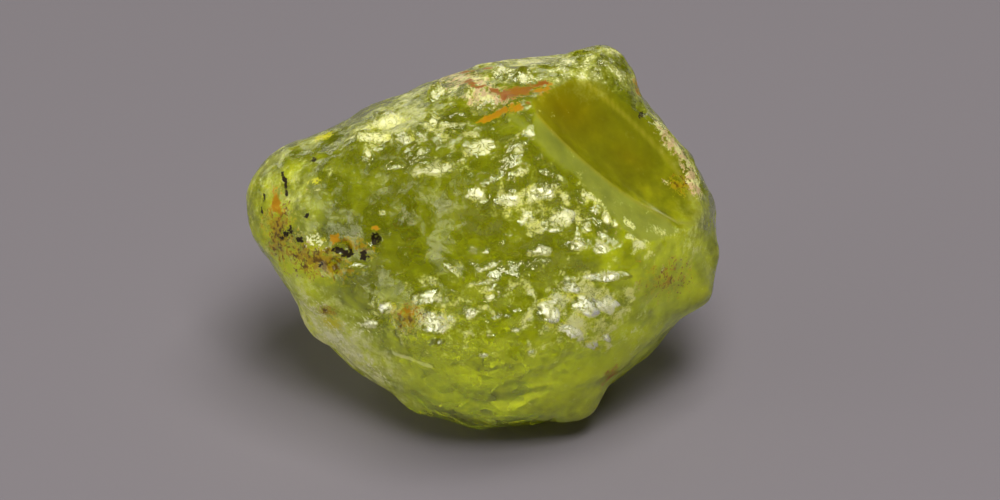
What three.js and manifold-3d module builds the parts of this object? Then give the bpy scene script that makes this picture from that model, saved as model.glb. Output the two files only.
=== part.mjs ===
// A rough grossular garnet: one natural piece of clear yellow-green stone, about 14 mm long. It has a
// blunt-cornered outline with a knob at its upper right and a round lobe at its left, weathered and
// chipped faces, one smooth shallow hollow with a narrow flat beside it, a few small pits, and the
// flat that it rests on.
//
// The stone is shaped as it is turned to the eye: x to the right, y up the view, z towards the eye.
// A direction from its middle is a turn, counted round the outline from the right by way of the top,
// and a lean, from 0 towards the eye, by way of 90 at the outline, to 180 on the far side.
// Lengths are in millimetres and angles in degrees.

import * as THREE from 'three';
import { mergeVertices } from 'three/addons/utils/BufferGeometryUtils.js';
import Module from 'manifold-3d';

const EYE_TILT = 33; // how far above level the stone is looked at
const REST_DEPTH = 5.1; // from the stone's middle down to the flat it rests on
const MIDDLE_X = 0.05; // where the stone's middle stands over the centre of its base
const MIDDLE_Y = -0.27;
const GRID = 28; // squares along each edge of the cube that the surface starts as
const DRAWN_NEAR = 0.2; // how strongly those squares are drawn together on the side that is seen
const CRISPNESS = 26; // how sharply neighbouring faces meet

// The faces of the stone's bulk, each a turn, a lean and its distance from the middle.
const OUTLINE_FACES = [
  [14, 90, 7.12], [36, 88, 6.45], [62, 86, 6.66], [94, 88, 5.4], [113, 90, 4.98],
  [154, 92, 6.82], [182, 92, 6.72], [205, 88, 6.0], [232, 88, 5.38], [250, 92, 5.52],
  [270, 90, 5.62], [300, 95, 5.95], [315, 86, 5.8], [338, 92, 7.15], [352, 88, 7.25],
];
const SEEN_FACES = [
  [0, 62, 6.6], [350, 36, 5.9], [38, 45, 5.28], [88, 60, 5.4], [113, 66, 4.9], [118, 38, 4.82],
  [150, 58, 6.1], [185, 62, 5.95], [190, 22, 4.6], [226, 54, 4.9], [270, 14, 4.85],
  [270, 56, 5.2], [308, 50, 5.2], [322, 15, 4.62], [335, 58, 5.75],
];
const FAR_FACES = [
  [0, 160, 5.5], [20, 130, 6.4], [60, 128, 6.3], [90, 150, 5.6], [120, 125, 5.6],
  [170, 130, 6.0], [180, 155, 5.4], [210, 135, 5.4], [270, 158, 5.1], [330, 135, 5.9],
];

// Round swellings and dips, each a turn, a lean, a height (below 0 for a dip) and a spread in degrees.
const SWELLINGS = [
  [172, 84, 0.7, 15], [208, 90, 0.24, 6], // the lobe at the left
  [57, 86, 0.5, 9], [49, 88, 0.12, 5], // the knob at the upper right
  [346, 88, 0.45, 7], [357, 89, 0.17, 4], [24, 88, 0.14, 5], // the corners at the right
  [247, 88, 0.22, 7], [268, 88, 0.12, 7], [300, 88, 0.32, 7], // along the foot
  [225, 40, 0.2, 9], [275, 60, 0.15, 14], // low on the front
  [145, 88, -0.28, 5], [194, 86, -0.12, 6], // the notches either side of the lobe
  [72, 88, -0.14, 6], [10, 88, -0.06, 5], // along the top and right edges
  [286, 88, -0.12, 5], [324, 88, -0.12, 5], // in the foot
  [186, 24, -0.3, 14], // the shallow valley across the front
  [50, 26, -0.18, 9], [12, 34, -0.25, 9], [3, 45, -0.2, 7], // below the narrow flat
  [58, 36, -0.14, 7], [75, 49, 0.12, 5], // beside its tip
];

// The weathered skin: a wide and a narrow size of shell-shaped chip, and two sizes of slow wave, all
// laid over each other.
const CHIPS = [
  { size: 1.5, seed: 3, bowl: 0.26, slope: 0.24, sunk: 0.12, strength: 0.9 },
  { size: 0.8, seed: 5, bowl: 0.26, slope: 0.26, sunk: 0.06, strength: 0.45 },
];
const WAVES = [
  { size: 1.7, seed: 11, height: 0.1 },
  { size: 0.85, seed: 12, height: 0.075 },
];
const STRETCH = new THREE.Vector3(0.62, 1.05, 0.9); // both are longer across the stone than up it
const BEND_LENGTH = 1.6; // their rows wander over about this length
const BEND_AMOUNT = 0.18;

// How rough the skin is: 0.5 all over, more or less around these places.
// Each is x, y, z, a radius and what it adds.
const PLAIN_ROUGHNESS = 0.5;
const MOST_ROUGHNESS = 1.1;
const ROUGH_PLACES = [
  [-1.6, 2.7, 3.6, 2.3, 0.55], [2.3, 0.9, 4.6, 1.9, 0.5], [2.6, -2.4, 4.0, 2.0, 0.45],
  [-1.6, -2.3, 4.0, 1.6, 0.35], [3.0, 5.0, 1.5, 2.0, 0.45],
];
const SMOOTH_PLACES = [
  [-6.4, 1.4, 1.0, 1.6, -0.35], [-2.2, 0.2, 4.8, 1.5, -0.35], [0.3, -5.0, 1.8, 2.4, -0.3],
  [5.9, -1.8, 1.5, 1.6, -0.3],
];

// The smooth hollow: a shallow boat-shaped dish with its deepest point, the turn it runs along, and
// the size of the boat.
const HOLLOW = { deepest: new THREE.Vector3(3.3, 2.94, 2.27), runs: -28, halfLength: 7.5, halfWidth: 2.5 };
// The narrow flat along the hollow's lower left, the way that both open, and the bank that rises from
// a point on the flat's far edge to the skin beyond.
const FLAT = {
  turn: 36, lean: 46, distance: 5.1, runs: -37, edge: new THREE.Vector3(4.2, 1.84, 2.7), bankRise: 30,
};

// Small round pits, each a turn, a lean, a radius and a depth.
const PITS = [
  [180, 41, 0.2, 0.18], [184, 51, 0.32, 0.14], [180, 58, 0.36, 0.12], [190, 55, 0.3, 0.1],
  [40, 79, 0.24, 0.14],
];

const CLEAR_OF_STONE = 40; // the width of a cutting block that reaches past the stone all round
const BOAT_SQUARES = [48, 32]; // round and along the body that the hollow is scooped out with
const PIT_SQUARES = [12, 8]; // the same for a pit's ball
const SAME_POINT = 1e-5; // points closer than this are one
const TILT_SEED = 31; // sets a chip's tilt apart from its place

const radians = THREE.MathUtils.degToRad;

// The unit vector that points along a turn and a lean.
function towards(turn, lean) {
  const out = Math.sin(radians(lean));
  return new THREE.Vector3(
    out * Math.cos(radians(turn)), out * Math.sin(radians(turn)), Math.cos(radians(lean)),
  );
}

const BULK_FACES = [...OUTLINE_FACES, ...SEEN_FACES, ...FAR_FACES].map(
  ([turn, lean, distance]) => ({ normal: towards(turn, lean), distance }),
);
const BULK_SWELLINGS = SWELLINGS.map(
  ([turn, lean, height, spread]) => ({ centre: towards(turn, lean), height, spread: radians(spread) }),
);

// How far the stone's bulk reaches in a direction: its faces blended by a high power, so that they
// meet in narrow round edges, then raised and lowered by the swellings.
function bulkRadius(direction) {
  let sum = 0;
  for (const face of BULK_FACES) {
    sum += (Math.max(direction.dot(face.normal), 0) / face.distance) ** CRISPNESS;
  }
  let radius = sum ** (-1 / CRISPNESS);
  for (const swelling of BULK_SWELLINGS) {
    const angle = direction.angleTo(swelling.centre);
    radius += swelling.height * Math.exp(-((angle / swelling.spread) ** 2));
  }
  return radius;
}

// Three even fractions that belong to one cell of a lattice.
function scattered(cell, seed) {
  const key = cell.x * 127.1 + cell.y * 311.7 + cell.z * 74.7 + seed * 17.3;
  const fraction = (step) => Math.abs(Math.sin(key * step) * 43758.5453) % 1;
  return new THREE.Vector3(fraction(1), fraction(1.37), fraction(1.91));
}

// The depth of the chips at a point: each cell of a lattice holds one tilted bowl at a scattered
// spot, and the lowest bowl wins, so that neighbouring bowls meet in thin ridges.
function chipHeight(point, { size, seed, bowl, slope }) {
  const place = point.clone().divideScalar(size);
  const home = place.clone().floor();
  let lowest = Infinity;
  for (let i = -1; i <= 1; i += 1) {
    for (let j = -1; j <= 1; j += 1) {
      for (let k = -1; k <= 1; k += 1) {
        const cell = home.clone().add(new THREE.Vector3(i, j, k));
        const away = place.clone().sub(cell).sub(scattered(cell, seed));
        const tilt = scattered(cell, seed + TILT_SEED).subScalar(0.5);
        lowest = Math.min(lowest, bowl * away.lengthSq() + slope * tilt.dot(away));
      }
    }
  }
  return lowest * size;
}

// The height of a wave at a point, from -1 to 1: an even number stands at each corner of a lattice,
// and the height eases from corner to corner.
function waveHeight(point, { size, seed }) {
  const place = point.clone().divideScalar(size);
  const home = place.clone().floor();
  const [x, y, z] = place.sub(home).toArray().map((part) => THREE.MathUtils.smootherstep(part, 0, 1));
  let height = 0;
  for (let i = 0; i <= 1; i += 1) {
    for (let j = 0; j <= 1; j += 1) {
      for (let k = 0; k <= 1; k += 1) {
        const share = (i ? x : 1 - x) * (j ? y : 1 - y) * (k ? z : 1 - z);
        height += share * scattered(home.clone().add(new THREE.Vector3(i, j, k)), seed).x;
      }
    }
  }
  return height * 2 - 1;
}

// A point moved a little by slow waves, so that the chips' rows wander, and then stretched.
function wandered(point) {
  const q = point.clone().divideScalar(BEND_LENGTH);
  const bend = new THREE.Vector3(
    Math.sin(q.y * 2.1 + 1) + Math.sin(q.z * 3.3 + 2),
    Math.sin(q.z * 2.3 + 3) + Math.sin(q.x * 3.1 + 1),
    Math.sin(q.x * 1.9 + 5) + Math.sin(q.y * 2.9 + 1),
  );
  return point.clone().addScaledVector(bend, BEND_AMOUNT).multiply(STRETCH);
}

// How rough the skin is at a point of the bulk.
function roughnessAt(point) {
  let roughness = PLAIN_ROUGHNESS;
  for (const [x, y, z, radius, added] of [...ROUGH_PLACES, ...SMOOTH_PLACES]) {
    const apart = point.distanceTo(new THREE.Vector3(x, y, z)) / radius;
    roughness += added * Math.exp(-(apart ** 2));
  }
  return THREE.MathUtils.clamp(roughness, 0, MOST_ROUGHNESS);
}

// How far the weathered skin reaches in a direction, before anything is cut from it.
function skinRadius(direction) {
  const bulk = bulkRadius(direction);
  const point = direction.clone().multiplyScalar(bulk);
  const place = wandered(point);
  let relief = 0;
  for (const chip of CHIPS) {
    relief += chip.strength * (chipHeight(place, chip) - chip.sunk);
  }
  for (const wave of WAVES) {
    relief += wave.height * waveHeight(place, wave);
  }
  return bulk + roughnessAt(point) * relief;
}

// A direction drawn towards the eye, which packs the grid closer on the seen side.
function drawnNear(direction) {
  const along = Math.sqrt(1 - DRAWN_NEAR ** 2);
  return new THREE.Vector3(direction.x * along, direction.y * along, direction.z + DRAWN_NEAR)
    .divideScalar(1 + DRAWN_NEAR * direction.z)
    .normalize();
}

// The geometry with only its positions, and each point held once.
function welded(geometry) {
  geometry.deleteAttribute('normal');
  geometry.deleteAttribute('uv');
  return mergeVertices(geometry, SAME_POINT);
}

// The uncut stone: a cube's grid of squares bulged to a ball, each point set at the skin's reach.
function uncutStone() {
  const geometry = welded(new THREE.BoxGeometry(2, 2, 2, GRID, GRID, GRID));
  const places = geometry.attributes.position;
  const point = new THREE.Vector3();
  for (let i = 0; i < places.count; i += 1) {
    point.fromBufferAttribute(places, i);
    point.set(...point.toArray().map((part) => Math.tan((part * Math.PI) / 4))).normalize();
    const direction = drawnNear(point);
    places.setXYZ(i, ...direction.multiplyScalar(skinRadius(direction)).toArray());
  }
  return geometry;
}

const wasm = await Module();
wasm.setup();

// A closed geometry as a solid that can be cut.
function solidOf(geometry) {
  const { position } = geometry.attributes;
  return new wasm.Manifold(new wasm.Mesh({
    numProp: 3,
    vertProperties: new Float32Array(position.array),
    triVerts: new Uint32Array(geometry.index.array),
  }));
}

// A solid's surface as a geometry, with a normal for each of its small facets.
function geometryOf(solid) {
  const { vertProperties, triVerts } = solid.getMesh();
  const geometry = new THREE.BufferGeometry();
  geometry.setAttribute('position', new THREE.BufferAttribute(vertProperties, 3));
  geometry.setIndex(new THREE.BufferAttribute(triVerts, 1));
  geometry.computeVertexNormals();
  return geometry;
}

// The frame of a cut: its long way, which is a turn laid onto the plane that the cut opens through,
// its way across, and the way that it opens.
function cutFrame(turn, opens) {
  const long = towards(turn, 90).projectOnPlane(opens).normalize();
  const across = new THREE.Vector3().crossVectors(opens, long);
  return { long, across, matrix: new THREE.Matrix4().makeBasis(long, across, opens) };
}

// Everything further than a distance from the middle, along a normal.
function beyond(normal, distance) {
  const block = new THREE.BoxGeometry(CLEAR_OF_STONE, CLEAR_OF_STONE, CLEAR_OF_STONE);
  block.translate(0, 0, CLEAR_OF_STONE / 2 + distance);
  block.applyMatrix4(cutFrame(FLAT.runs, normal).matrix);
  return solidOf(welded(block));
}

// What is above both the plane of the narrow flat and its bank.
function flatCut() {
  const opens = towards(FLAT.turn, FLAT.lean);
  const { across } = cutFrame(FLAT.runs, opens);
  const rise = radians(FLAT.bankRise);
  const bank = opens.clone().multiplyScalar(Math.cos(rise)).addScaledVector(across, -Math.sin(rise));
  return beyond(opens, FLAT.distance).intersect(beyond(bank, bank.dot(FLAT.edge)));
}

// The boat-shaped body that the smooth hollow is scooped out with.
function hollowCut() {
  const opens = towards(FLAT.turn, FLAT.lean);
  const boat = new THREE.SphereGeometry(1, ...BOAT_SQUARES);
  boat.scale(HOLLOW.halfLength, HOLLOW.halfWidth, HOLLOW.halfWidth);
  boat.applyMatrix4(cutFrame(HOLLOW.runs, opens).matrix);
  const centre = HOLLOW.deepest.clone().addScaledVector(opens, HOLLOW.halfWidth);
  boat.translate(...centre.toArray());
  return solidOf(welded(boat));
}

// The ball that one small pit is scooped out with.
function pitCut([turn, lean, radius, depth]) {
  const direction = towards(turn, lean);
  const ball = new THREE.SphereGeometry(radius, ...PIT_SQUARES);
  ball.translate(...direction.clone().multiplyScalar(skinRadius(direction) + radius - depth).toArray());
  return solidOf(welded(ball));
}

function garnetStone() {
  const cuts = [
    flatCut(),
    hollowCut(),
    ...PITS.map(pitCut),
    beyond(towards(270, 90 + EYE_TILT), REST_DEPTH),
  ];
  const stone = cuts.reduce((solid, cut) => solid.subtract(cut), solidOf(uncutStone()));
  const material = new THREE.MeshStandardMaterial({
    color: 0x7c8018, roughness: 0.35, metalness: 0, flatShading: true,
  });
  const mesh = new THREE.Mesh(geometryOf(stone), material);
  mesh.name = 'garnet';
  return mesh;
}

// The stone is set down on its flat, with its middle above the base.
const garnet = garnetStone();
garnet.rotation.x = radians(90 - EYE_TILT);
garnet.position.set(MIDDLE_X, MIDDLE_Y, REST_DEPTH);

const group = new THREE.Group();
group.add(garnet);

export default group;
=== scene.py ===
import bpy
import numpy as np
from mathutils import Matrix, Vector


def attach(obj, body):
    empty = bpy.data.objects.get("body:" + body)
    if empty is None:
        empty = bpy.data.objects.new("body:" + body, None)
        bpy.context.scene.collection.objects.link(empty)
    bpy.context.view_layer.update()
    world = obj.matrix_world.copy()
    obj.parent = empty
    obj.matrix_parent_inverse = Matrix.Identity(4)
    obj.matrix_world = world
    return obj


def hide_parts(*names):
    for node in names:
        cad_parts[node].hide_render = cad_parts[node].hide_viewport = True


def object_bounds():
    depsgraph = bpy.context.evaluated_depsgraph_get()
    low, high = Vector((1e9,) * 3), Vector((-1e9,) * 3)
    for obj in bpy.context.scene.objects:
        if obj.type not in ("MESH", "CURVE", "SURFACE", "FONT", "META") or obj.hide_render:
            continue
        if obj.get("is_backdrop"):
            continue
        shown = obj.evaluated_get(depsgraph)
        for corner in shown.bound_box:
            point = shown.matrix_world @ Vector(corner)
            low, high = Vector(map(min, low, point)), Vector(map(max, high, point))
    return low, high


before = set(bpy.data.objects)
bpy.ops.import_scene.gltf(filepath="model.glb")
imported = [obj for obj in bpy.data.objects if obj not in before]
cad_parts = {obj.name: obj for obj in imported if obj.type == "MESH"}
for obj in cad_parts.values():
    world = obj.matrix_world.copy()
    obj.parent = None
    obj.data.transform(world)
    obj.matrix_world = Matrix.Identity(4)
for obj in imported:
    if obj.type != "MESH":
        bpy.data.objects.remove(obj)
solid_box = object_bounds()

# The garnet's bulk
# One natural lump of clear yellow-green stone, broken off and worn blunt. It is shaped as it is
# turned to the eye: x to the right, y up the view, z towards the eye, in millimetres from its
# middle, and is then turned to stand on its flat.
MM = 0.001
EYE_TILT = np.radians(33)
REST_DEPTH = 5.1
MIDDLE = np.array([0.05, -0.27, REST_DEPTH])
VIEW_RIGHT = np.array([1.0, 0.0, 0.0])
VIEW_UP = np.array([0.0, np.sin(EYE_TILT), np.cos(EYE_TILT)])
TO_EYE = np.array([0.0, -np.cos(EYE_TILT), np.sin(EYE_TILT)])
SEEN_AXES = np.stack([VIEW_RIGHT, VIEW_UP, TO_EYE])

GRID = 126
DRAWN_NEAR = 0.28


def ball_grid(squares):
    """Directions on a ball and the quads that join them: each face of a cube is a grid of two
    parameters, spread by the tangent so that its squares come out even, and shared edges are held
    once. The directions are then drawn towards the eye, where the detail is looked at."""
    steps = np.arange(squares + 1)
    first, second = (axis.ravel() for axis in np.meshgrid(steps, steps, indexing="ij"))
    corner = (np.arange(squares)[:, None] * (squares + 1) + np.arange(squares)).ravel()
    quad = np.stack([corner, corner + squares + 1, corner + squares + 2, corner + 1], axis=1)
    places, quads = [], []
    for axis in range(3):
        for side in (0, squares):
            square = np.empty((first.size, 3), dtype=int)
            square[:, axis] = side
            square[:, (axis + 1) % 3] = first
            square[:, (axis + 2) % 3] = second
            quads.append((quad if side else quad[:, ::-1]) + len(places) * first.size)
            places.append(square)
    places = np.concatenate(places)
    shared, back = np.unique(places, axis=0, return_inverse=True)
    ball = np.tan((shared * 2 / squares - 1) * np.pi / 4)
    ball /= np.linalg.norm(ball, axis=1)[:, None]
    along = np.sqrt(1 - DRAWN_NEAR**2)
    drawn = ball * np.array([along, along, 1.0]) + np.array([0.0, 0.0, DRAWN_NEAR])
    drawn /= np.linalg.norm(drawn, axis=1)[:, None]
    return drawn, back.reshape(-1)[np.concatenate(quads)]


def towards(turn, lean):
    """The unit vector at a turn round the outline and a lean away from the eye, in degrees."""
    turn, lean = np.radians(turn), np.radians(lean)
    return np.array([np.sin(lean) * np.cos(turn), np.sin(lean) * np.sin(turn), np.cos(lean)])


# The faces of the bulk, each a turn, a lean and a distance, and its swellings and dips, each a
# turn, a lean, a height and a spread.
OUTLINE_FACES = [
    (14, 90, 7.12), (36, 88, 6.45), (62, 86, 6.66), (94, 88, 5.4), (113, 90, 4.98),
    (154, 92, 6.82), (182, 92, 6.72), (205, 88, 6.0), (232, 88, 5.38), (250, 92, 5.52),
    (270, 90, 5.62), (300, 95, 5.95), (315, 86, 5.8), (338, 92, 7.15), (352, 88, 7.25),
]
SEEN_FACES = [
    (0, 62, 6.6), (350, 36, 5.9), (38, 45, 5.28), (88, 60, 5.4), (113, 66, 4.9), (118, 38, 4.82),
    (150, 58, 6.1), (185, 62, 5.95), (190, 22, 4.6), (226, 54, 4.9), (270, 14, 4.85),
    (270, 56, 5.2), (308, 50, 5.2), (322, 15, 4.62), (335, 58, 5.75),
]
FAR_FACES = [
    (0, 160, 5.5), (20, 130, 6.4), (60, 128, 6.3), (90, 150, 5.6), (120, 125, 5.6),
    (170, 130, 6.0), (180, 155, 5.4), (210, 135, 5.4), (270, 158, 5.1), (330, 135, 5.9),
]
CRISPNESS = 26
SWELLINGS = [
    (172, 84, 0.7, 15), (208, 90, 0.24, 6),  # the lobe at the left
    (57, 86, 0.5, 9), (49, 88, 0.12, 5),  # the knob at the upper right
    (346, 88, 0.45, 7), (357, 89, 0.17, 4), (24, 88, 0.14, 5),  # the corners at the right
    (247, 88, 0.22, 7), (268, 88, 0.12, 7), (300, 88, 0.32, 7),  # along the foot
    (225, 40, 0.2, 9), (275, 60, 0.15, 14),  # low on the front
    (145, 88, -0.28, 5), (194, 86, -0.12, 6),  # the notches either side of the lobe
    (72, 88, -0.14, 6), (10, 88, -0.06, 5),  # along the top and right edges
    (286, 88, -0.12, 5), (324, 88, -0.12, 5),  # in the foot
    (186, 24, -0.3, 14),  # the shallow valley across the front
    (50, 26, -0.18, 9), (12, 34, -0.25, 9), (3, 45, -0.2, 7),  # below the narrow flat
    (58, 36, -0.14, 7), (75, 49, 0.12, 5),  # beside its tip
]


def bulk_reach(ways):
    """How far the bulk reaches in each direction: the sum of each face's cosine over its distance,
    to a high power, taken back to a length, plus a bell curve of the angle for each swelling."""
    total = 0
    for turn, lean, distance in OUTLINE_FACES + SEEN_FACES + FAR_FACES:
        total = total + (np.maximum(ways @ towards(turn, lean), 0) / distance) ** CRISPNESS
    reach = total ** (-1 / CRISPNESS)
    for turn, lean, height, spread in SWELLINGS:
        angle = np.degrees(np.arccos(np.clip(ways @ towards(turn, lean), -1, 1)))
        reach += height * np.exp(-((angle / spread) ** 2))
    return reach


# The garnet's weathered skin
# The broken stone is chipped in shells and etched by weathering. The two widest sizes of chip and
# of wave are in the solid too, and the finer ones are only here.
CHIPS = [
    {"size": 1.5, "seed": 3, "bowl": 0.26, "slope": 0.24, "sunk": 0.12, "strength": 0.9},
    {"size": 0.8, "seed": 5, "bowl": 0.26, "slope": 0.26, "sunk": 0.06, "strength": 0.45},
]
WAVES = [
    {"size": 1.7, "seed": 11, "height": 0.1},
    {"size": 0.85, "seed": 12, "height": 0.075},
]
FINE_CHIPS = [{"size": 0.4, "seed": 7, "bowl": 0.26, "slope": 0.26, "sunk": 0.02, "strength": 0.4}]
FINE_WAVES = [
    {"size": 0.45, "seed": 13, "height": 0.032},
    {"size": 0.22, "seed": 14, "height": 0.014},
]
TILT_SEED = 31
KEY_STEPS = np.array([127.1, 311.7, 74.7])
SEED_STEP = 17.3
KEY_RATES = (1, 1.37, 1.91)
KEY_SPREAD = 43758.5453
BEND = {"length": 1.6, "amount": 0.18, "phase": 1.0, "stretch": (0.62, 1.05, 0.9)}
FINE_BEND = {"length": 0.7, "amount": 0.07, "phase": 2.0, "stretch": (0.6, 1.1, 0.95)}
PLAIN_ROUGHNESS = 0.5
MOST_ROUGHNESS = 1.1
ROUGH_PLACES = [
    (-1.6, 2.7, 3.6, 2.3, 0.55), (2.3, 0.9, 4.6, 1.9, 0.5), (2.6, -2.4, 4.0, 2.0, 0.45),
    (-1.6, -2.3, 4.0, 1.6, 0.35), (3.0, 5.0, 1.5, 2.0, 0.45),
]
SMOOTH_PLACES = [
    (-6.4, 1.4, 1.0, 1.6, -0.35), (-2.2, 0.2, 4.8, 1.5, -0.35), (0.3, -5.0, 1.8, 2.4, -0.3),
    (5.9, -1.8, 1.5, 1.6, -0.3),
]


def scattered(cells, seed):
    """Three even fractions for each cell of a lattice, from the sine of a mixed key."""
    key = cells @ KEY_STEPS + seed * SEED_STEP
    return np.stack([np.abs(np.sin(key * rate) * KEY_SPREAD) % 1 for rate in KEY_RATES], axis=-1)


def chip_height(points, size, seed, bowl, slope):
    """The lowest of the tilted bowls that stand at one scattered spot in each cell of a lattice:
    a bowl's height is its curve times the squared distance plus its tilt times the distance."""
    places = points / size
    home = np.floor(places)
    lowest = np.full(len(points), np.inf)
    for step in np.ndindex(3, 3, 3):
        cells = home + np.array(step) - 1
        away = places - cells - scattered(cells, seed)
        tilt = scattered(cells, seed + TILT_SEED) - 0.5
        lowest = np.minimum(lowest, bowl * (away**2).sum(axis=1) + slope * (tilt * away).sum(axis=1))
    return lowest * size


def wave_height(points, size, seed):
    """From -1 to 1: an even number at each corner of a lattice, eased from corner to corner by the
    curve 6t^5 - 15t^4 + 10t^3."""
    places = points / size
    home = np.floor(places)
    part = places - home
    part = part**3 * (part * (part * 6 - 15) + 10)
    height = 0
    for corner in np.ndindex(2, 2, 2):
        share = np.where(corner, part, 1 - part).prod(axis=1)
        height = height + share * scattered(home + np.array(corner), seed)[:, 0]
    return height * 2 - 1


def wandered(points, length, amount, phase, stretch):
    """Points moved a little by slow sine waves, so that rows of chips wander, and then stretched."""
    x, y, z = (points / length).T
    bend = np.stack(
        [
            np.sin(y * 2.1 + phase) + np.sin(z * 3.3 + 2 * phase),
            np.sin(z * 2.3 + 3 * phase) + np.sin(x * 3.1 + phase),
            np.sin(x * 1.9 + 5 * phase) + np.sin(y * 2.9 + phase),
        ],
        axis=1,
    )
    return (points + amount * bend) * np.array(stretch)


def relief(places, chips, waves):
    """The heights of the chips, each less what it is sunk by, and of the waves, added up."""
    height = 0
    for chip in chips:
        bowls = chip_height(places, chip["size"], chip["seed"], chip["bowl"], chip["slope"])
        height = height + chip["strength"] * (bowls - chip["sunk"])
    for wave in waves:
        height = height + wave["height"] * wave_height(places, wave["size"], wave["seed"])
    return height


def roughness_at(points):
    """How chipped the skin is: an even amount, and a bell curve of distance around each place."""
    amount = np.full(len(points), PLAIN_ROUGHNESS)
    for x, y, z, radius, added in ROUGH_PLACES + SMOOTH_PLACES:
        apart = np.linalg.norm(points - np.array([x, y, z]), axis=1) / radius
        amount += added * np.exp(-(apart**2))
    return np.clip(amount, 0, MOST_ROUGHNESS)


def skin_reach(ways, fine):
    """How far the weathered skin reaches in each direction, before anything is cut from it: the
    bulk, plus the relief times how rough the skin is there."""
    bulk = bulk_reach(ways)
    points = ways * bulk[:, None]
    height = relief(wandered(points, **BEND), CHIPS, WAVES)
    if fine:
        height = height + relief(wandered(points, **FINE_BEND), FINE_CHIPS, FINE_WAVES)
    return bulk + roughness_at(points) * height


# The garnet's ledges
# Small etched faces, each broken a little deeper or shallower than the skin around it. They lie in
# two families of parallel faces, so that all of one family flash together in the light.
HIGH_WAY = (80, 26)
FRONT_WAY = (78, 15)
# Each is its place across and up the view, half its width, half its height and its turn.
HIGH_LEDGES = [
    (-3.27, 3.03, 0.6, 0.2, -8), (-2.31, 2.97, 0.36, 0.2, 0), (-1.8, 2.64, 0.3, 0.14, 20),
    (-1.38, 2.1, 0.72, 0.22, 12), (-0.12, 2.73, 0.54, 0.25, 10), (-2.61, 2.16, 0.28, 0.12, 0),
    (-3.42, 2.52, 0.2, 0.12, -50), (-1.44, 4.38, 0.26, 0.24, 0), (-2.82, 3.54, 0.48, 0.22, 15),
    (-1.5, 3.54, 0.2, 0.24, 0), (-0.96, 3.39, 0.45, 0.09, 0), (0.06, 4.2, 0.55, 0.25, -10),
    (0.51, 4.95, 0.22, 0.2, 0), (1.2, 4.86, 0.28, 0.16, 0), (1.05, 2.64, 0.22, 0.16, 0),
    (1.05, 2.01, 0.34, 0.12, 10), (2.31, 1.83, 0.25, 0.09, -35),
]
FRONT_LEDGES = [
    (1.71, 1.35, 0.62, 0.32, 5), (0.75, 1.2, 0.4, 0.32, 0), (3.21, 1.26, 0.38, 0.13, -30),
    (2.28, 0.6, 0.5, 0.38, 0), (3.03, 0.36, 0.2, 0.2, 0), (3.6, 0.6, 0.15, 0.2, 0),
    (3.24, 0.84, 0.16, 0.12, 0), (2.1, 0.27, 0.42, 0.12, 0), (4.26, 0.12, 0.13, 0.12, 0),
    (4.53, -0.12, 0.16, 0.12, 0), (1.65, -0.33, 0.36, 0.18, 0), (2.76, -0.18, 0.28, 0.17, 10),
    (3.48, -0.24, 0.24, 0.2, 0), (4.29, 0.51, 0.22, 0.08, -40), (2.52, -1.44, 0.25, 0.17, 0),
    (3.72, -1.11, 0.48, 0.14, 12), (1.95, -2.13, 0.42, 0.28, -20), (3.06, -1.92, 0.36, 0.25, 0),
    (3.66, -1.86, 0.28, 0.28, 0), (2.49, -2.67, 0.36, 0.22, -35), (3.57, -2.85, 0.16, 0.16, 0),
    (3.18, -3.09, 0.16, 0.08, 0), (1.38, -3.33, 0.14, 0.12, 0), (-1.62, -1.68, 0.4, 0.22, 0),
    (-1.5, -2.45, 0.34, 0.52, 12), (-2.85, -2.01, 0.28, 0.16, 0), (-3.24, -2.43, 0.42, 0.15, 10),
    (-0.42, -2.1, 0.3, 0.18, 0), (0.18, -1.68, 0.19, 0.12, 15), (0.09, -1.23, 0.42, 0.08, 5),
    (-0.06, -3.42, 0.2, 0.08, 0), (0.93, -2.64, 0.12, 0.08, 0),
    (-0.96, -0.84, 0.36, 0.08, -35), (-0.12, -0.87, 0.16, 0.08, -30), (0.2, -0.75, 0.36, 0.08, 25),
    (-3.72, -0.75, 0.27, 0.08, 0), (-2.97, 0.78, 0.12, 0.08, 0), (-0.18, 1.35, 0.36, 0.3, 0),
]
LEDGE_WOBBLE = 0.45
LEDGE_WOBBLE_SIZE = 0.28
LEDGE_WOBBLE_SEED = 21
LEDGE_MOST = 0.22
LEDGE_GRAIN = 0.5
LEDGE_EDGE = 0.3
UNCUT = 1000.0
LEAST_COSINE = 0.001


def plane_reach(ways, normal, distance):
    """The distance over the cosine, where the direction points at the plane."""
    cosine = ways @ normal
    return np.where(cosine > LEAST_COSINE, distance / np.maximum(cosine, LEAST_COSINE), UNCUT)


def ellipse(points, centre, half_width, half_height, turn):
    """How far points are out from the middle of an ellipse in the view, as a share of the way to
    its edge; depth counts too, over half its width and height added up."""
    across, up, depth = (points - centre).T
    turn = np.radians(turn)
    along = across * np.cos(turn) + up * np.sin(turn)
    beside = up * np.cos(turn) - across * np.sin(turn)
    depth = depth / (half_width + half_height)
    return np.sqrt((along / half_width) ** 2 + (beside / half_height) ** 2 + depth**2)


def on_side(points, across, up, side=1):
    """The point of the near side, or of the far side, -1, that stands closest to a place across
    and up the view."""
    there = points[points[:, 2] * side > 0]
    apart = (there[:, 0] - across) ** 2 + (there[:, 1] - up) ** 2
    return there[np.argmin(apart)]


def smooth_step(amount):
    """0 below 0, 1 above 1, and 3t^2 - 2t^3 between."""
    amount = np.clip(amount, 0, 1)
    return amount * amount * (3 - 2 * amount)


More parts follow.
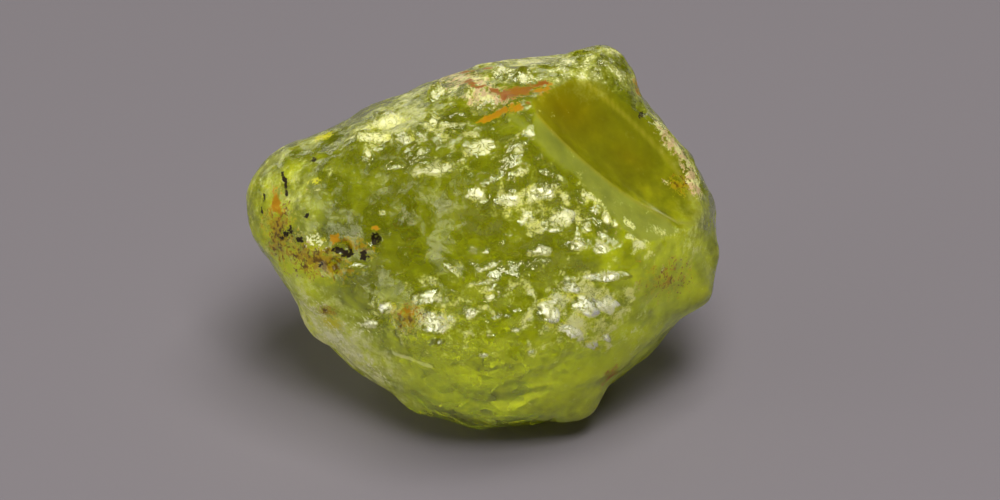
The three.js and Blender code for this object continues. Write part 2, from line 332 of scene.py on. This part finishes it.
def ledge_shares(points):
    """For each ledge the way it faces, its middle, and how far each point belongs to it: 1 inside
    an ellipse with a wobbly edge and 0 outside."""
    wobble = LEDGE_WOBBLE * wave_height(points, LEDGE_WOBBLE_SIZE, LEDGE_WOBBLE_SEED)
    for way, ledges in ((HIGH_WAY, HIGH_LEDGES), (FRONT_WAY, FRONT_LEDGES)):
        for across, up, half_width, half_height, turn in ledges:
            centre = on_side(points, across, up)
            out = ellipse(points, centre, half_width, half_height, turn) + wobble
            yield towards(*way), centre, smooth_step((1 - out) / LEDGE_EDGE + 0.5)


def ledge_reach(ways, reach, bulk):
    """The skin with its ledges: on each the reach goes over to that of a plane through its middle,
    with the finest relief kept as its grain."""
    points = ways * bulk[:, None]
    grain = roughness_at(points) * relief(wandered(points, **FINE_BEND), FINE_CHIPS, FINE_WAVES)
    for normal, centre, share in ledge_shares(points):
        rise = np.clip(plane_reach(ways, normal, normal @ centre) - bulk, -LEDGE_MOST, LEDGE_MOST)
        reach = reach + share * (bulk + rise + LEDGE_GRAIN * grain - reach)
    return reach


# The garnet's cuts
# A smooth shallow hollow with a narrow flat beside it, where the crystal split along a healed crack,
# small round pits at the left, and the flat that the stone rests on.
FLAT = {"turn": 36, "lean": 46, "distance": 5.1, "runs": -37, "edge": (4.2, 1.84, 2.7), "bank_rise": 30}
HOLLOW = {"deepest": (3.3, 2.94, 2.27), "runs": -28, "half_length": 7.5, "half_width": 2.5}
PITS = [
    (180, 41, 0.2, 0.18), (184, 51, 0.32, 0.14), (180, 58, 0.36, 0.12), (190, 55, 0.3, 0.1),
    (40, 79, 0.24, 0.14),
]
EDGE_WIDTH = 0.05


def soft_lower(first, second, width):
    """The lower of two lengths, with their meeting rounded over a width."""
    share = np.clip(0.5 + 0.5 * (second - first) / width, 0, 1)
    return second + (first - second) * share - width * share * (1 - share)


def cut_frame(turn, opens):
    """The long way of a cut, which is a turn laid onto the plane it opens through, and the way
    across it."""
    long_way = towards(turn, 90)
    long_way = long_way - opens * (long_way @ opens)
    long_way /= np.linalg.norm(long_way)
    return long_way, np.cross(opens, long_way)


def flat_reach(ways, opens):
    """The further of the plane of the narrow flat and the plane of the bank beyond it."""
    across = cut_frame(FLAT["runs"], opens)[1]
    rise = np.radians(FLAT["bank_rise"])
    bank = np.cos(rise) * opens - np.sin(rise) * across
    floor_reach = plane_reach(ways, opens, FLAT["distance"])
    return np.maximum(floor_reach, plane_reach(ways, bank, bank @ np.array(FLAT["edge"])))


def scoop_reach(ways, axes, sizes, centre):
    """Where a line from the middle first meets an ellipsoid: the smaller root of its quadratic."""
    shrink = axes / sizes[:, None]
    lines, middle = ways @ shrink.T, shrink @ centre
    a, b, c = (lines**2).sum(axis=1), lines @ middle, middle @ middle - 1
    square = b * b - a * c
    met = (b - np.sqrt(np.maximum(square, 0))) / a
    return np.where((square > 0) & (b > 0), met, UNCUT)


def hollow_body(opens):
    """The axes, half sizes and centre of the ellipsoid that the hollow is scooped out with."""
    sizes = np.array([HOLLOW["half_length"], HOLLOW["half_width"], HOLLOW["half_width"]])
    axes = np.stack([*cut_frame(HOLLOW["runs"], opens), opens])
    return axes, sizes, np.array(HOLLOW["deepest"]) + opens * HOLLOW["half_width"]


def stone_reach(ways):
    """The weathered skin less the flat, the hollow, the pits and the flat the stone rests on."""
    opens = towards(FLAT["turn"], FLAT["lean"])
    reach = ledge_reach(ways, skin_reach(ways, fine=True), bulk_reach(ways))
    reach = soft_lower(reach, flat_reach(ways, opens), EDGE_WIDTH)
    reach = soft_lower(reach, scoop_reach(ways, *hollow_body(opens)), EDGE_WIDTH)
    for turn, lean, radius, depth in PITS:
        way = towards(turn, lean)
        centre = way * (skin_reach(way[None], fine=False)[0] + radius - depth)
        ball = np.full(3, radius)
        reach = soft_lower(reach, scoop_reach(ways, np.eye(3), ball, centre), EDGE_WIDTH)
    foot = towards(270, 90 + np.degrees(EYE_TILT))
    return soft_lower(reach, plane_reach(ways, foot, REST_DEPTH), EDGE_WIDTH)


ways, quads = ball_grid(GRID)
seen = ways * stone_reach(ways)[:, None]
stone_mesh = bpy.data.meshes.new("rough_garnet")
stone_mesh.from_pydata((seen @ SEEN_AXES + MIDDLE) * MM, [], quads)
stone_mesh.polygons.foreach_set("use_smooth", np.ones(len(quads), dtype=bool))
stone_mesh.update()
garnet = bpy.data.objects.new("rough_garnet", stone_mesh)
bpy.context.scene.collection.objects.link(garnet)


# The garnet's stains
# Iron has seeped in from outside along cracks and left rust, ochre and orange; soot-dark oxide sits
# in the pits, and frost and pale crust cover what weathered longest. Some marks here are painted
# light: frost across the middle and low front is a painted glint, milk is a painted glow on the sides
# and foot, and the veil on the narrow flat is partly a painted sheen. Each is a strength from 0 to 1
# over the surface: a patch is placed as a ledge is, with its most last, and a streak is a line.
STAINS = {
    "frost_and_glint": {
        "patches": [
            (3.18, 4.95, 1.7, 0.6, -5, 0.55), (0.03, 4.6, 1.8, 0.6, 12, 0.5),
            (-2.52, 3.54, 1.1, 0.5, 20, 0.8),
            (-2.2, 4.3, 2.2, 0.5, 30, 0.5), (1.5, 5.35, 2.2, 0.3, 4, 0.7),
            (-6.1, 1.2, 1.2, 1.9, 0, 0.3), (-4.3, -3.1, 1.9, 0.8, -40, 0.9),
            (6.2, 0.9, 0.4, 1.3, 0, 0.45), (5.6, 3.0, 0.3, 1.2, 30, 0.55),
            # The next three patches, across the middle and low on the front, are pale paint that stands in
            # for glints.
            (1.9, 0.9, 1.6, 0.8, -10, 0.45),
            (2.9, -2.2, 1.6, 0.8, -10, 0.5), (-1.4, -2.3, 1.4, 0.9, 0, 0.45),
        ],
        "streaks": [([(-2.7, -3.36), (-2.13, -3.54), (-1.6, -3.75)], 0.07)],
        "behind": [
            (-3.0, 2.0, 1.6, 0.8, 20, 0.8), (3.0, -1.0, 1.8, 0.9, -20, 0.7),
            (0.5, 3.6, 1.6, 0.6, 0, 0.7),
        ],
    },
    "amber": {"patches": [(2.4, 3.9, 2.2, 1.4, -30, 1.0), (4.2, 2.6, 2.0, 1.4, -40, 0.8)]},
    # A pale film over the narrow flat, painted partly as the sheen that the flat reflects.
    "veil_and_sheen": {"streaks": [([(0.8, 3.68), (1.2, 3.36), (1.6, 3.02)], 0.11)]},
    "hollow": {"patches": [(1.75, 3.9, 0.4, 0.25, -30, 1.0)]},
    # Milky haze, painted brightest on the sides, the lower left and the foot as a painted glow of light
    # shining through.
    "milk_and_glow": {
        "patches": [
            (5.6, -1.3, 1.8, 2.0, 0, 0.7), (4.3, -3.6, 2.2, 1.4, 30, 0.95),
            (-4.9, -3.2, 2.2, 1.2, -40, 1.0),
            (-5.6, -1.2, 1.0, 1.0, 0, 0.9), (-6.3, 1.0, 1.2, 2.2, 0, 0.45),
            (0.8, -5.2, 3.5, 0.8, 0, 0.15),
        ],
        "behind": [
            (-4.6, 0.0, 1.8, 1.6, 0, 0.7), (1.0, -3.5, 2.4, 1.2, 0, 0.5),
            (4.2, 2.0, 1.4, 1.2, 0, 0.6),
        ],
    },
    "rust": {
        "patches": [(0.93, 4.38, 0.5, 0.2, 15, 1.0), (1.32, 4.08, 0.08, 0.06, 0, 1.0)],
        "streaks": [
            ([(-0.72, 5.01), (-0.3, 5.06), (0.18, 5.13)], 0.07),
            ([(-0.51, 4.74), (-0.18, 4.56), (0.33, 4.44), (0.66, 4.26), (1.02, 4.38), (1.77, 4.68)], 0.1),
        ],
        "behind": [(-1.2, 0.6, 0.7, 0.1, 35, 1.0), (-0.5, 1.2, 0.4, 0.08, 60, 1.0)],
    },
    "orange": {
        "patches": [
            (1.68, 4.5, 0.26, 0.16, 20, 1.0), (-6.15, 1.11, 0.16, 0.42, 0, 1.0),
            (-4.29, -0.03, 0.24, 0.14, 0, 1.0),
            (-3.18, 0.36, 0.09, 0.07, 0, 1.0), (4.59, 4.59, 0.15, 0.2, 0, 0.8),
            (5.64, -1.02, 0.3, 0.2, 0, 0.6),
            (-2.3, -2.1, 0.3, 0.14, 0, 0.7), (4.6, -0.66, 0.12, 0.05, 0, 0.8),
            (3.8, -4.05, 0.5, 0.2, 40, 0.6),
        ],
        "streaks": [([(-0.12, 3.48), (0.24, 3.66), (0.6, 3.84), (1.05, 3.96)], 0.13)],
        "behind": [(0.6, 2.4, 0.45, 0.1, -30, 1.0), (-1.5, 0.2, 0.3, 0.14, 20, 0.8)],
    },
    "ochre": {
        "patches": [
            (-4.9, -0.6, 0.9, 0.45, -15, 1.0), (-6.1, 0.3, 0.4, 0.9, 10, 0.9),
            (-3.8, -0.2, 0.5, 0.2, -20, 0.9), (-4.7, -2.1, 0.35, 0.15, 0, 1.0),
            (-2.25, -2.25, 0.4, 0.35, 0, 0.9),
            (5.5, -1.2, 0.9, 0.5, 10, 0.6), (5.9, 1.7, 0.3, 0.3, 0, 0.8),
        ],
        "behind": [(2.8, 1.2, 0.9, 0.4, 20, 1.0), (-2.4, -1.8, 0.5, 0.3, 0, 0.9)],
    },
    "crust": {
        "patches": [
            (-0.65, 4.77, 0.5, 0.28, 0, 1.0), (0.08, 4.28, 0.75, 0.3, -12, 1.0),
            (-1.0, 4.95, 0.35, 0.15, 20, 1.0), (-0.15, 4.72, 0.45, 0.18, -20, 0.9),
            (-5.1, -0.09, 0.16, 0.08, 0, 1.0),
            (5.4, 1.74, 0.12, 0.1, 0, 0.6), (-5.0, 1.5, 0.35, 0.2, 0, 0.3),
        ],
        "streaks": [([(5.19, 3.42), (5.58, 3.03), (6.06, 2.4), (6.21, 2.04), (6.4, 1.5)], 0.2)],
        "behind": [(-3.5, -1.4, 0.6, 0.25, 10, 1.0), (4.4, -0.4, 0.4, 0.3, 0, 0.8)],
    },
    "yellow": {
        "patches": [
            (-4.8, 3.06, 0.28, 0.14, 5, 1.0), (-4.77, 0.03, 0.16, 0.1, 0, 1.0),
            (-4.98, 1.77, 0.2, 0.12, 0, 0.8),
            (-4.55, -2.45, 0.4, 0.28, 0, 1.0),
        ],
    },
    "worn": {
        "patches": [
            (0.8, -4.9, 4.5, 1.3, 0, 1.0), (-2.1, -0.1, 2.1, 1.1, 10, 1.0),
            (-0.5, -0.1, 0.9, 0.45, 0, 1.0), (-1.6, -0.9, 0.8, 0.6, 0, 1.0),
            (-4.3, 0.5, 1.0, 0.6, 0, 0.45), (5.6, -1.9, 1.5, 1.6, 0, 1.0),
            (-6.6, 1.2, 0.7, 1.6, 0, 0.9), (-4.3, -1.7, 1.2, 0.7, -30, 0.8),
            (3.8, -4.2, 1.6, 1.0, 35, 0.8),
        ],
        "behind": [(-3.0, -2.0, 1.8, 1.2, 0, 0.9), (2.0, 2.4, 1.6, 1.0, 0, 0.8)],
    },
    "rime": {
        "patches": [
            (-4.95, -0.03, 0.3, 0.18, 0, 1.0), (-4.45, -2.95, 0.6, 0.3, -40, 0.8),
            (-5.0, -2.2, 0.35, 0.5, 0, 0.6),
            (-3.4, -3.75, 0.6, 0.2, -35, 0.65), (0.5, 4.95, 0.3, 0.2, 0, 0.8),
            (1.2, 4.86, 0.4, 0.2, 0, 0.7),
            (3.1, 5.0, 1.3, 0.45, -5, 0.42), (4.6, 2.4, 0.4, 0.3, 0, 0.5), (5.3, 1.3, 0.3, 0.4, 0, 0.6),
            (-3.7, -2.5, 0.7, 0.4, 0, 0.5),
        ],
    },
    "soot": {
        "patches": [
            (-5.88, 0.21, 0.26, 0.12, 25, 1.0), (-5.46, 0.0, 0.12, 0.08, 0, 1.0),
            (-4.12, -0.36, 0.3, 0.13, -20, 1.0), (-3.62, -0.5, 0.16, 0.14, -50, 1.0),
            (-3.12, 0.03, 0.19, 0.14, 25, 1.0), (-5.28, 0.72, 0.1, 0.08, 0, 0.8),
            (-5.07, 2.4, 0.1, 0.07, 0, 1.0),
            (4.71, 3.78, 0.09, 0.15, 0, 1.0), (-4.86, -0.75, 0.08, 0.06, 0, 0.9),
        ],
        "streaks": [([(-6.03, 2.0), (-5.9, 1.7), (-5.85, 1.3)], 0.06), ([(-6.54, 1.35), (-6.62, 0.8)], 0.04)],
        "behind": [
            (2.6, 1.1, 0.2, 0.1, 0, 1.0), (3.1, 1.35, 0.1, 0.08, 0, 1.0),
            (-0.9, 0.9, 0.12, 0.08, 0, 0.9),
        ],
    },
}
# Where the skin is speckled with small etched faces between the ledges, and on the far side. On the near
# side the cream painted over these places and over the ledges is partly a painted glint.
ETCHED_BEHIND = [(0.0, 0.5, 2.6, 1.4, 0, 0.6), (-2.8, -2.4, 1.6, 1.0, 0, 0.6), (3.6, 2.2, 1.2, 1.0, 0, 0.55)]
SPECKLED = [
    (2.3, 0.6, 1.9, 1.2, -10, 0.55), (-1.2, 2.8, 3.0, 1.1, 5, 0.5), (2.8, -2.2, 1.7, 1.1, 0, 0.85),
    (-1.6, -2.2, 1.9, 1.1, 0, 0.62), (0.6, -1.6, 1.9, 1.2, 0, 0.55), (4.9, -0.2, 1.2, 0.9, 0, 0.5),
    (1.5, 5.3, 2.2, 0.35, 5, 0.7), (-4.7, -3.1, 1.7, 0.8, -40, 0.75), (-0.5, 4.6, 1.6, 0.5, 15, 0.6),
]
# How near the surface lies to the narrow flat and to the hollow where it takes their finish, the
# first in millimetres and the second as a share of the scoop's half sizes.
FLAT_SKIN = 0.03
HOLLOW_SKIN = 0.02


def streak_distance(points, line, width):
    """How far points are from a line of straight stretches laid over the near side, in widths."""
    corners = [on_side(points, across, up) for across, up in line]
    nearest = np.full(len(points), np.inf)
    for start, end in zip(corners, corners[1:]):
        run = end - start
        part = np.clip((points - start) @ run / (run @ run), 0, 1)
        nearest = np.minimum(nearest, np.linalg.norm(points - start - part[:, None] * run, axis=1))
    return nearest / width


def stain_strength(points, patches=(), streaks=(), behind=()):
    """The strongest of a stain's patches and streaks: 1 in the middle of each, a half at its edge,
    and none at twice that."""
    strength = np.zeros(len(points))
    for side, marks in ((1, patches), (-1, behind)):
        for across, up, half_width, half_height, turn, most in marks:
            centre = on_side(points, across, up, side)
            out = ellipse(points, centre, half_width, half_height, turn)
            strength = np.maximum(strength, most * np.clip(1 - out / 2, 0, 1))
    for line, width in streaks:
        strength = np.maximum(strength, np.clip(1 - streak_distance(points, line, width) / 2, 0, 1))
    return strength


opens = towards(FLAT["turn"], FLAT["lean"])
axes, sizes, centre = hollow_body(opens)
off_cut = {
    "veil_and_sheen": (seen @ opens - FLAT["distance"]) / FLAT_SKIN,
    "hollow": (np.linalg.norm((seen - centre) @ axes.T / sizes, axis=1) - 1) / HOLLOW_SKIN,
}
for stain, marks in STAINS.items():
    strength = stain_strength(seen, **marks)
    if stain in off_cut:
        strength = np.maximum(strength, np.exp(-(off_cut[stain] ** 2)))
    stone_mesh.attributes.new(stain, "FLOAT", "POINT").data.foreach_set("value", strength)
# The ledges and the speckled places, where cream is painted, partly as a painted glint.
etched_and_glint_patches = [(*ledge, 1.0) for ledge in HIGH_LEDGES + FRONT_LEDGES] + SPECKLED
etched_and_glint = stain_strength(seen, etched_and_glint_patches, behind=ETCHED_BEHIND)
stone_mesh.attributes.new("etched_and_glint", "FLOAT", "POINT").data.foreach_set("value", etched_and_glint)


# The garnet's finish
# Clear stone that drinks blue light, so that it is olive where it is thick, under a skin that is
# glassy where it broke and frosted where it was etched. The cream on the etched places, the pale
# frost across the front, the glow of the milk and the sheen of the veil are in part painted light.
class Value:
    """A shader socket that Python's operators work on; each operator adds one Math node."""

    def __init__(self, finish, socket):
        self.finish, self.socket = finish, socket

    def math(self, operation, first, second):
        return self.finish.node("ShaderNodeMath", {"operation": operation}, {0: first, 1: second})

    def __add__(self, other):
        return self.math("ADD", self, other)

    def __sub__(self, other):
        return self.math("SUBTRACT", self, other)

    def __rsub__(self, other):
        return self.math("SUBTRACT", other, self)

    def __mul__(self, other):
        return self.math("MULTIPLY", self, other)

    def between(self, low, high):
        """0 below low, 1 above high and a smooth rise between them."""
        settings = {"interpolation_type": "SMOOTHSTEP"}
        return self.finish.node("ShaderNodeMapRange", settings, {"Value": self, 1: low, 2: high})

    def other(self, output):
        """Another output of the same node."""
        return Value(self.finish, self.socket.node.outputs[output])

    __radd__ = __add__
    __rmul__ = __mul__


class Finish:
    """One material and the nodes that are added to it."""

    def __init__(self, name):
        self.material = bpy.data.materials.new(name)
        self.material.use_nodes = True
        self.tree = self.material.node_tree
        self.tree.nodes.clear()

    def node(self, kind, settings, inputs, output=0):
        """Adds a node, sets its settings, fills or links its sockets and gives one output back."""
        node = self.tree.nodes.new(kind)
        for name, setting in settings.items():
            setattr(node, name, setting)
        for name, value in inputs.items():
            if isinstance(value, Value):
                self.tree.links.new(value.socket, node.inputs[name])
            else:
                node.inputs[name].default_value = value
        return Value(self, node.outputs[output]) if len(node.outputs) else None


STONE_IOR = 1.74
CLEAR_ROUGHNESS = 0.08
MILKY_ROUGHNESS = 0.16
STAINED_ROUGHNESS = 0.55
GLOW_DEPTH = 0.006
GLOW_BY_COLOUR = (1.0, 1.0, 0.05)
DRINKS = {"Color": (0.92, 0.938, 0.0, 1), "Density": 700.0}

OLIVE = (0.6, 0.66, 0.02, 1)
MILK_AND_GLOW = (0.78, 0.88, 0.02, 1)
VEIL_AND_SHEEN = (0.36, 0.4, 0.07, 1)
AMBER = (0.33, 0.265, 0.0, 1)
PALE = (0.78, 0.8, 0.38, 1)
CREAM = (0.9, 0.91, 0.45, 1)
RIME = (0.92, 0.93, 0.6, 1)
OCHRE = (0.44, 0.31, 0.005, 1)
UMBER = (0.16, 0.09, 0.003, 1)
RUST = (0.3, 0.075, 0.003, 1)
ORANGE = (0.5, 0.24, 0.003, 1)
CRUST = (0.72, 0.5, 0.34, 1)
YELLOW = (0.72, 0.68, 0.03, 1)
SOOT = (0.02, 0.012, 0.004, 1)

finish = Finish("garnet")
place = finish.node("ShaderNodeTexCoord", {}, {}, "Object")


def mask(name):
    """The painted strength of one stain at the surface."""
    return finish.node("ShaderNodeAttribute", {"attribute_name": name}, {}, "Fac")


def noise(scale, detail, distortion=0.0):
    """Cloudy noise from 0 to 1, with so many lumps to the metre."""
    inputs = {"Vector": place, "Scale": scale, "Detail": detail, "Distortion": distortion}
    return finish.node("ShaderNodeTexNoise", {}, inputs)


def painted(under, over, share):
    """One colour over another by a share."""
    return finish.node("ShaderNodeMix", {"data_type": "RGBA"}, {"Factor": share, 6: under, 7: over}, 2)


def vectors(operation, output, *inputs):
    """One output of a Vector Math node on the inputs in their order."""
    sockets = dict(enumerate(inputs))
    return finish.node("ShaderNodeVectorMath", {"operation": operation}, sockets, output)


MIDWAY = 0.5
FACET_STRETCH = (0.7, 1.25, 1.25)
BEND_FINENESS = 1.3


def facets(scale, wander):
    """The height of small flat faces, in metres: each cell of a scattered lattice slopes its own
    way from its middle, and the lattice wanders a little so that the edges aren't straight."""
    bend_inputs = {"Vector": place, "Scale": scale * BEND_FINENESS}
    bend = finish.node("ShaderNodeTexNoise", {}, bend_inputs, "Color")
    bent = vectors("MULTIPLY_ADD", "Vector", bend, (wander,) * 3, place)
    bent = vectors("MULTIPLY", "Vector", bent, FACET_STRETCH)
    cell = finish.node("ShaderNodeTexVoronoi", {}, {"Vector": bent, "Scale": scale}, "Color")
    slope = vectors("SUBTRACT", "Vector", cell, (MIDWAY,) * 3)
    away = vectors("SUBTRACT", "Vector", bent, cell.other("Position"))
    return vectors("DOT_PRODUCT", "Value", slope, away)


# How fine each kind of noise is, in lumps to the metre.
CLOUDS = 1500.0
LUMPS = 2300.0
CREASES = 4200.0
FLECKS = 5200.0
GRAIN = 6000.0
FINE_GRAIN = 14000.0
GRAIN_STRENGTH = 1.1
SEEP_START = 0.25
# How far the lumps and the grain break up each stain, and the strengths between which it fades in.
SEEPS = {
    "rust": (1.2, 1.0, 0.35, 0.65),
    "orange": (2.0, 0.8, 0.35, 0.8),
    "ochre": (0.6, 1.3, 0.25, 0.75),
    "crust": (1.0, 1.5, 0.35, 0.75),
    "yellow": (0.8, 1.0, 0.35, 0.75),
    "rime": (1.4, 1.6, 0.45, 0.75),
    "soot": (1.0, 1.4, 0.45, 0.6),
}
clouds = noise(CLOUDS, 3.0) - MIDWAY
lumps = noise(LUMPS, 3.0) - MIDWAY
grain = (noise(GRAIN, 2.0, 0.5) - MIDWAY) * GRAIN_STRENGTH
grain = grain + (noise(FINE_GRAIN, 2.0) - MIDWAY) * GRAIN_STRENGTH
crease = finish.node("ShaderNodeMath", {"operation": "ABSOLUTE"}, {0: noise(CREASES, 3.0, 0.8) - MIDWAY})
flecks = noise(FLECKS, 3.0).between(0.45, 0.6)


def seeped(name):
    """A stain's strength with its edge broken up by the lumps and the grain, which end with it."""
    coarse, fine, low, high = SEEPS[name]
    strength = mask(name)
    broken = (lumps * coarse + grain * fine) * strength.between(0.0, SEEP_START)
    return (strength + broken).between(low, high)


hollow = mask("hollow")
frost_and_glint = (mask("frost_and_glint") + lumps * 1.2 + grain * 0.5).between(0.15, 0.75) * (1.0 - hollow * 0.8)
rust = seeped("rust")
orange = seeped("orange")
ochre = seeped("ochre")
crust = seeped("crust")
yellow = seeped("yellow")
rime = seeped("rime") * (1.0 - hollow)
soot = seeped("soot")
etched_and_glint = (mask("etched_and_glint") + lumps * 1.6 + grain * 0.3).between(0.45, 0.7) * crease.between(0.0, 0.04)
veil_and_sheen = mask("veil_and_sheen")
milk_and_glow = (mask("milk_and_glow") + clouds * 0.7 + 0.12).between(0.1, 0.9)
amber = mask("amber") * hollow

# The milky colour, which on the sides and the foot is a painted glow.
colour = painted(OLIVE, MILK_AND_GLOW, milk_and_glow)
# The pale film on the narrow flat, partly a painted sheen.
colour = painted(colour, VEIL_AND_SHEEN, veil_and_sheen)
colour = painted(colour, AMBER, amber)
# Pale frost, which across the middle and the low front is a painted glint.
colour = painted(colour, PALE, frost_and_glint)
# Cream on the etched places: partly etched frost, partly a painted glint.
colour = painted(colour, CREAM, etched_and_glint)
colour = painted(colour, painted(OCHRE, UMBER, flecks), ochre)
colour = painted(colour, painted(CRUST, CREAM, flecks * 0.85), crust * 0.9)
colour = painted(colour, YELLOW, yellow)
colour = painted(colour, RIME, rime)
colour = painted(colour, ORANGE, orange)
colour = painted(colour, RUST, rust * 0.9)
colour = painted(colour, SOOT, soot)

# The small faces' number to the metre and how far they wander, in metres, then their slopes, and
# the heights of the creases between them, in millimetres.
BROAD_FACETS = (1400.0, 0.0002)
FINE_FACETS = (4200.0, 0.0001)
BROAD_SLOPE = 320.0
FINE_SLOPE = 220.0
ETCHED_SLOPE = 400.0
FROSTED_SLOPE = 450.0
CREASE_HEIGHT = 0.04
LEDGE_CREASE_HEIGHT = 0.014
rough = (1.0 - (veil_and_sheen * 0.85 + hollow * 0.97 + mask("worn") * 0.75)).between(0.0, 1.0)
even = mask("etched_and_glint").between(0.45, 0.75)
fine_slope = mask("etched_and_glint") * ETCHED_SLOPE + mask("frost_and_glint") * FROSTED_SLOPE + FINE_SLOPE
broken = facets(*BROAD_FACETS) * BROAD_SLOPE + facets(*FINE_FACETS) * fine_slope
broken = (broken + crease * CREASE_HEIGHT) * (1.0 - even * 0.8)
creased = crease.between(0.0, 0.06) * even * LEDGE_CREASE_HEIGHT
bumps = {"Height": (broken + creased) * rough, "Strength": 1.0, "Distance": MM}
normal = finish.node("ShaderNodeBump", {}, bumps)

clear = finish.node(
    "ShaderNodeBsdfPrincipled",
    {},
    {
        "Base Color": (1.0, 1.0, 1.0, 1),
        "Roughness": CLEAR_ROUGHNESS,
        "IOR": STONE_IOR,
        "Transmission Weight": 1.0,
        "Normal": normal,
    },
)
milky = finish.node(
    "ShaderNodeBsdfPrincipled",
    {"subsurface_method": "RANDOM_WALK"},
    {
        "Base Color": colour,
        "Roughness": frost_and_glint * 0.1 + crust * 0.3 + MILKY_ROUGHNESS,
        "IOR": STONE_IOR,
        "Subsurface Weight": 1.0,
        "Subsurface Radius": GLOW_BY_COLOUR,
        "Subsurface Scale": GLOW_DEPTH,
        "Specular IOR Level": 0.3,
        "Normal": normal,
    },
)
stained = finish.node(
    "ShaderNodeBsdfPrincipled",
    {},
    {
        "Base Color": colour,
        "Roughness": STAINED_ROUGHNESS,
        "IOR": STONE_IOR,
        "Specular IOR Level": 0.1,
        "Normal": normal,
    },
)
# How much of the clear stone the milky films take, which carry the painted glow, sheen and glints
# too, and how much of both the stains hide.
films = ochre * 0.5 + yellow * 0.3 + frost_and_glint * 0.35 + etched_and_glint * 0.24 + veil_and_sheen * 0.35 + amber * 0.4 + milk_and_glow * 0.35
films = (films + (clouds * 0.4 + 0.3) * (1.0 - hollow * 0.3)).between(0.0, 1.0)
stains = rust * 0.95 + orange * 0.85 + ochre * 0.3 + crust * 0.6 + yellow * 0.5 + rime * 0.7 + soot
stains = stains.between(0.0, 1.0)
surface = finish.node("ShaderNodeMixShader", {}, {0: films, 1: clear, 2: milky})
surface = finish.node("ShaderNodeMixShader", {}, {0: stains, 1: surface, 2: stained})
depth = finish.node("ShaderNodeVolumeAbsorption", {}, DRINKS)
finish.node("ShaderNodeOutputMaterial", {}, {"Surface": surface, "Volume": depth})
stone_mesh.materials.append(finish.material)
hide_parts("garnet")
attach(garnet, "root")

# The floor
# A plain pale matt board, wider than any view of the stone.
FLOOR_HALF = 0.6
BOARD = (0.225, 0.205, 0.29, 1)
corners = np.array([(-1, -1, 0), (1, -1, 0), (1, 1, 0), (-1, 1, 0)]) * FLOOR_HALF
floor_mesh = bpy.data.meshes.new("floor")
floor_mesh.from_pydata(corners, [], [(0, 1, 2, 3)])
floor = bpy.data.objects.new("floor", floor_mesh)
bpy.context.scene.collection.objects.link(floor)
floor_finish = Finish("floor")
board = floor_finish.node("ShaderNodeBsdfPrincipled", {}, {"Base Color": BOARD, "Roughness": 0.8})
floor_finish.node("ShaderNodeOutputMaterial", {}, {"Surface": board})
floor_mesh.materials.append(floor_finish.material)
floor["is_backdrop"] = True

# The lights
# Five soft lamps: a wide one overhead and a smaller one before it, which flash in the two families
# of ledges, a long low one behind that shines through the foot, and two low ones at the left.
LAMPS = [
    {"name": "key", "place": (0.034, -0.023, 0.225), "size": (0.13, 0.10), "power": 0.28},
    {"name": "front", "place": (0.02, -0.105, 0.20), "size": (0.09, 0.07), "power": 0.25},
    {"name": "back", "place": (-0.05, 0.3, 0.055), "size": (0.56, 0.1), "power": 0.27},
    {"name": "side", "place": (-0.18, -0.1, 0.03), "size": (0.12, 0.10), "power": 0.08},
    {"name": "left", "place": (-0.3, 0.0, 0.11), "size": (0.3, 0.2), "power": 0.17},
]
LAMP_COLOUR = (1.0, 0.98, 0.76)
ROOM_COLOUR = (1.0, 0.95, 0.6, 1)
ROOM_STRENGTH = 0.05
LIT = Vector((0, 0, 0.005))

for lamp in LAMPS:
    light = bpy.data.lights.new(lamp["name"], "AREA")
    light.shape = "RECTANGLE"
    light.size, light.size_y = lamp["size"]
    light.energy = lamp["power"]
    light.color = LAMP_COLOUR
    holder = bpy.data.objects.new(lamp["name"], light)
    holder.location = lamp["place"]
    holder.rotation_euler = (LIT - holder.location).to_track_quat("-Z", "Y").to_euler()
    bpy.context.scene.collection.objects.link(holder)
room = bpy.data.worlds.new("room")
room.use_nodes = True
room.node_tree.nodes["Background"].inputs["Color"].default_value = ROOM_COLOUR
room.node_tree.nodes["Background"].inputs["Strength"].default_value = ROOM_STRENGTH
bpy.context.scene.world = room
bpy.context.scene.view_settings.view_transform = "Standard"

# The camera
# A long lens that looks down at the stone by the tilt of its eye.
LENS = 300.0
SENSOR = 36.0
FRAME_WIDTH = 30.0
AIM = MIDDLE + VIEW_RIGHT * 0.48 - VIEW_UP * 0.30
camera_data = bpy.data.cameras.new("camera")
camera_data.lens = LENS
camera_data.sensor_width = SENSOR
camera = bpy.data.objects.new("camera", camera_data)
camera.location = (AIM + TO_EYE * FRAME_WIDTH * LENS / SENSOR) * MM
camera.rotation_euler = (np.pi / 2 - EYE_TILT, 0, 0)
bpy.context.scene.collection.objects.link(camera)
bpy.context.scene.camera = camera

boxes = {"solid": solid_box, "dressed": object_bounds()}
boxes = {name: [list(map(float, corner)) for corner in box] for name, box in boxes.items()}
